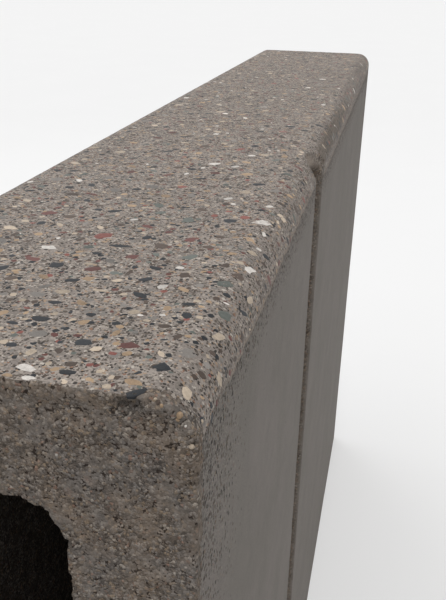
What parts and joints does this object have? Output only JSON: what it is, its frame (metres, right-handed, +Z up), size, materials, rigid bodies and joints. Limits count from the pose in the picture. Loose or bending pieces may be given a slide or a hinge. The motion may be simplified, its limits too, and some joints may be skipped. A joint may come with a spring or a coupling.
{
  "type": "hollow concrete kerb",
  "caption": "Hollow precast concrete kerb unit with a ground top, rounded top arrises, a tall slot through its length and an upright groove in its front face.",
  "frame": {"origin": "middle of the bed, the rectangular face that the kerb stands on", "axes": "+Z up, +Y along the length away from the near end, +X across the width towards the grooved front face"},
  "size_m": [0.15, 0.9, 0.6],
  "materials": {
    "concrete": "smooth cast faces, ground top with exposed aggregate, rough granular ends"
  },
  "bodies": {
    "root": {"kerb": "concrete"}
  },
  "joints": []
}
